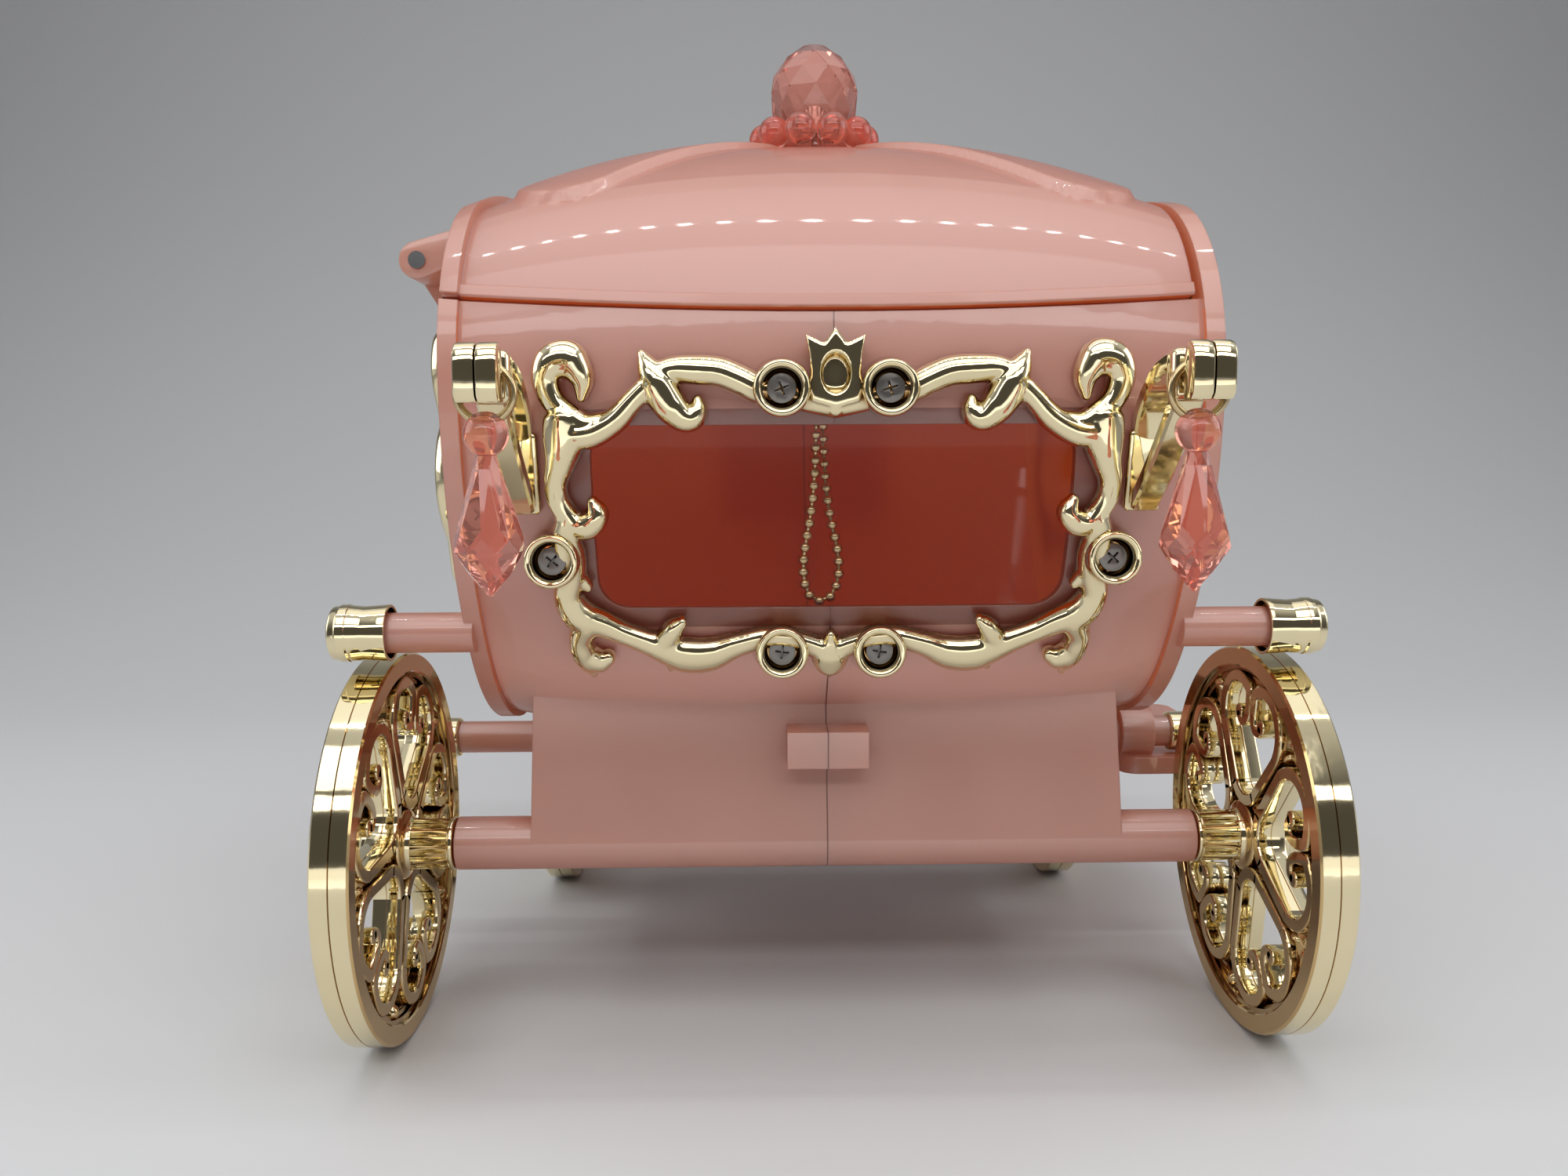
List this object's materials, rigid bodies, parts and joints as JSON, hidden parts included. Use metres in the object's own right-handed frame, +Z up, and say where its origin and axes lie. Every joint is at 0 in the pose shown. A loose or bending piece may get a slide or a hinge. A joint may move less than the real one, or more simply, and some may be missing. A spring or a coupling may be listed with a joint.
{
  "type": "coach music box",
  "caption": "Pink princess coach music box: hinged lid over a jewel cabin, gold scroll window frame, spoked wheels that roll, swinging lamp pendants and a wind-up movement underneath.",
  "frame": {"origin": "on the floor under the middle of the overall box", "axes": "+X to the right side seen from the window end, +Y from the window end to the coachman's end, +Z up"},
  "size_m": [0.188, 0.196, 0.1897],
  "materials": {
    "pearl_pink": "pearl pink moulded plastic, satin gloss",
    "gold_trim": "vacuum-metallised pale gold on plastic",
    "clear_pane": "clear moulded plastic",
    "salmon_acrylic": "clear salmon pink acrylic, faceted",
    "steel": "plain bright steel",
    "dark_screw": "dark plated steel",
    "brass": "plain brass"
  },
  "bodies": {
    "coach": {"body_shell_left": "pearl_pink", "body_shell_right": "pearl_pink", "cabin_floor": "pearl_pink", "bottom_cover": "pearl_pink", "entry_step": "pearl_pink", "coachman_bench": "pearl_pink", "window_frame": "gold_trim", "lamp_bracket_left": "gold_trim", "lamp_bracket_right": "gold_trim", "rod_cap_left": "gold_trim", "rod_cap_right": "gold_trim", "step_cap_left": "gold_trim", "step_cap_right": "gold_trim", "side_frame_left": "gold_trim", "side_frame_right": "gold_trim", "window_pane": "clear_pane", "hinge_pin": "steel", "tune_comb": "steel", "cover_screws": "steel", "frame_screws": "dark_screw", "lid_chain": "brass", "chain_eye_wall": "brass", "movement_bedplate": "brass"},
    "lid": {"lid": "pearl_pink", "finial_ring": "salmon_acrylic", "finial_ball": "salmon_acrylic", "finial_screw": "steel", "chain_eye_lid": "brass"},
    "rear_wheels": {"rear_axle": "steel", "wheel_rear_left": "gold_trim", "wheel_rear_right": "gold_trim", "hub_cap_rear_left": "gold_trim", "hub_cap_rear_right": "gold_trim"},
    "front_wheels": {"front_axle": "steel", "wheel_front_left": "gold_trim", "wheel_front_right": "gold_trim", "hub_cap_front_left": "gold_trim", "hub_cap_front_right": "gold_trim"},
    "pendant_left": {"pendant_ring_left": "brass", "pendant_drop_left": "salmon_acrylic"},
    "pendant_right": {"pendant_ring_right": "brass", "pendant_drop_right": "salmon_acrylic"},
    "key": {"winding_key": "brass"},
    "barrel": {"spring_barrel": "steel"},
    "cylinder": {"pinned_cylinder": "brass"},
    "governor": {"governor": "brass"}
  },
  "joints": [
    {"name": "lid_hinge", "type": "hinge", "parent": "coach", "child": "lid", "pos_m": [-0.072, 0, 0.14], "axis": [0, -1, 0], "range_deg": [0, 76], "deforming": ["lid_chain"]},
    {"name": "rear_wheels_roll", "type": "hinge", "parent": "coach", "child": "rear_wheels", "pos_m": [0, -0.0435, 0.035], "axis": [1, 0, 0], "continuous": true},
    {"name": "front_wheels_roll", "type": "hinge", "parent": "coach", "child": "front_wheels", "pos_m": [0, 0.0435, 0.027], "axis": [1, 0, 0], "continuous": true},
    {"name": "pendant_left_swing", "type": "hinge", "parent": "coach", "child": "pendant_left", "pos_m": [-0.0495, -0.092, 0.1152], "axis": [0, 1, 0], "range_deg": [-20, 20]},
    {"name": "pendant_right_swing", "type": "hinge", "parent": "coach", "child": "pendant_right", "pos_m": [0.0495, -0.092, 0.1152], "axis": [0, 1, 0], "range_deg": [-20, 20]},
    {"name": "key_turn", "type": "hinge", "parent": "coach", "child": "key", "pos_m": [-0.0115, 0, 0.03], "axis": [0, 0, 1], "continuous": true},
    {"name": "barrel_turn", "type": "hinge", "parent": "coach", "child": "barrel", "pos_m": [-0.0115, 0, 0.04], "axis": [0, 0, 1], "continuous": true},
    {"name": "cylinder_turn", "type": "hinge", "parent": "coach", "child": "cylinder", "pos_m": [0.0085, 0, 0.044], "axis": [0, 1, 0], "continuous": true},
    {"name": "governor_spin", "type": "hinge", "parent": "coach", "child": "governor", "pos_m": [-0.002, -0.016, 0.04], "axis": [0, 0, 1], "continuous": true}
  ],
  "couplings": [
    {"joint": "cylinder_turn", "follows": "barrel_turn", "ratio": 2},
    {"joint": "governor_spin", "follows": "barrel_turn", "ratio": -8}
  ]
}
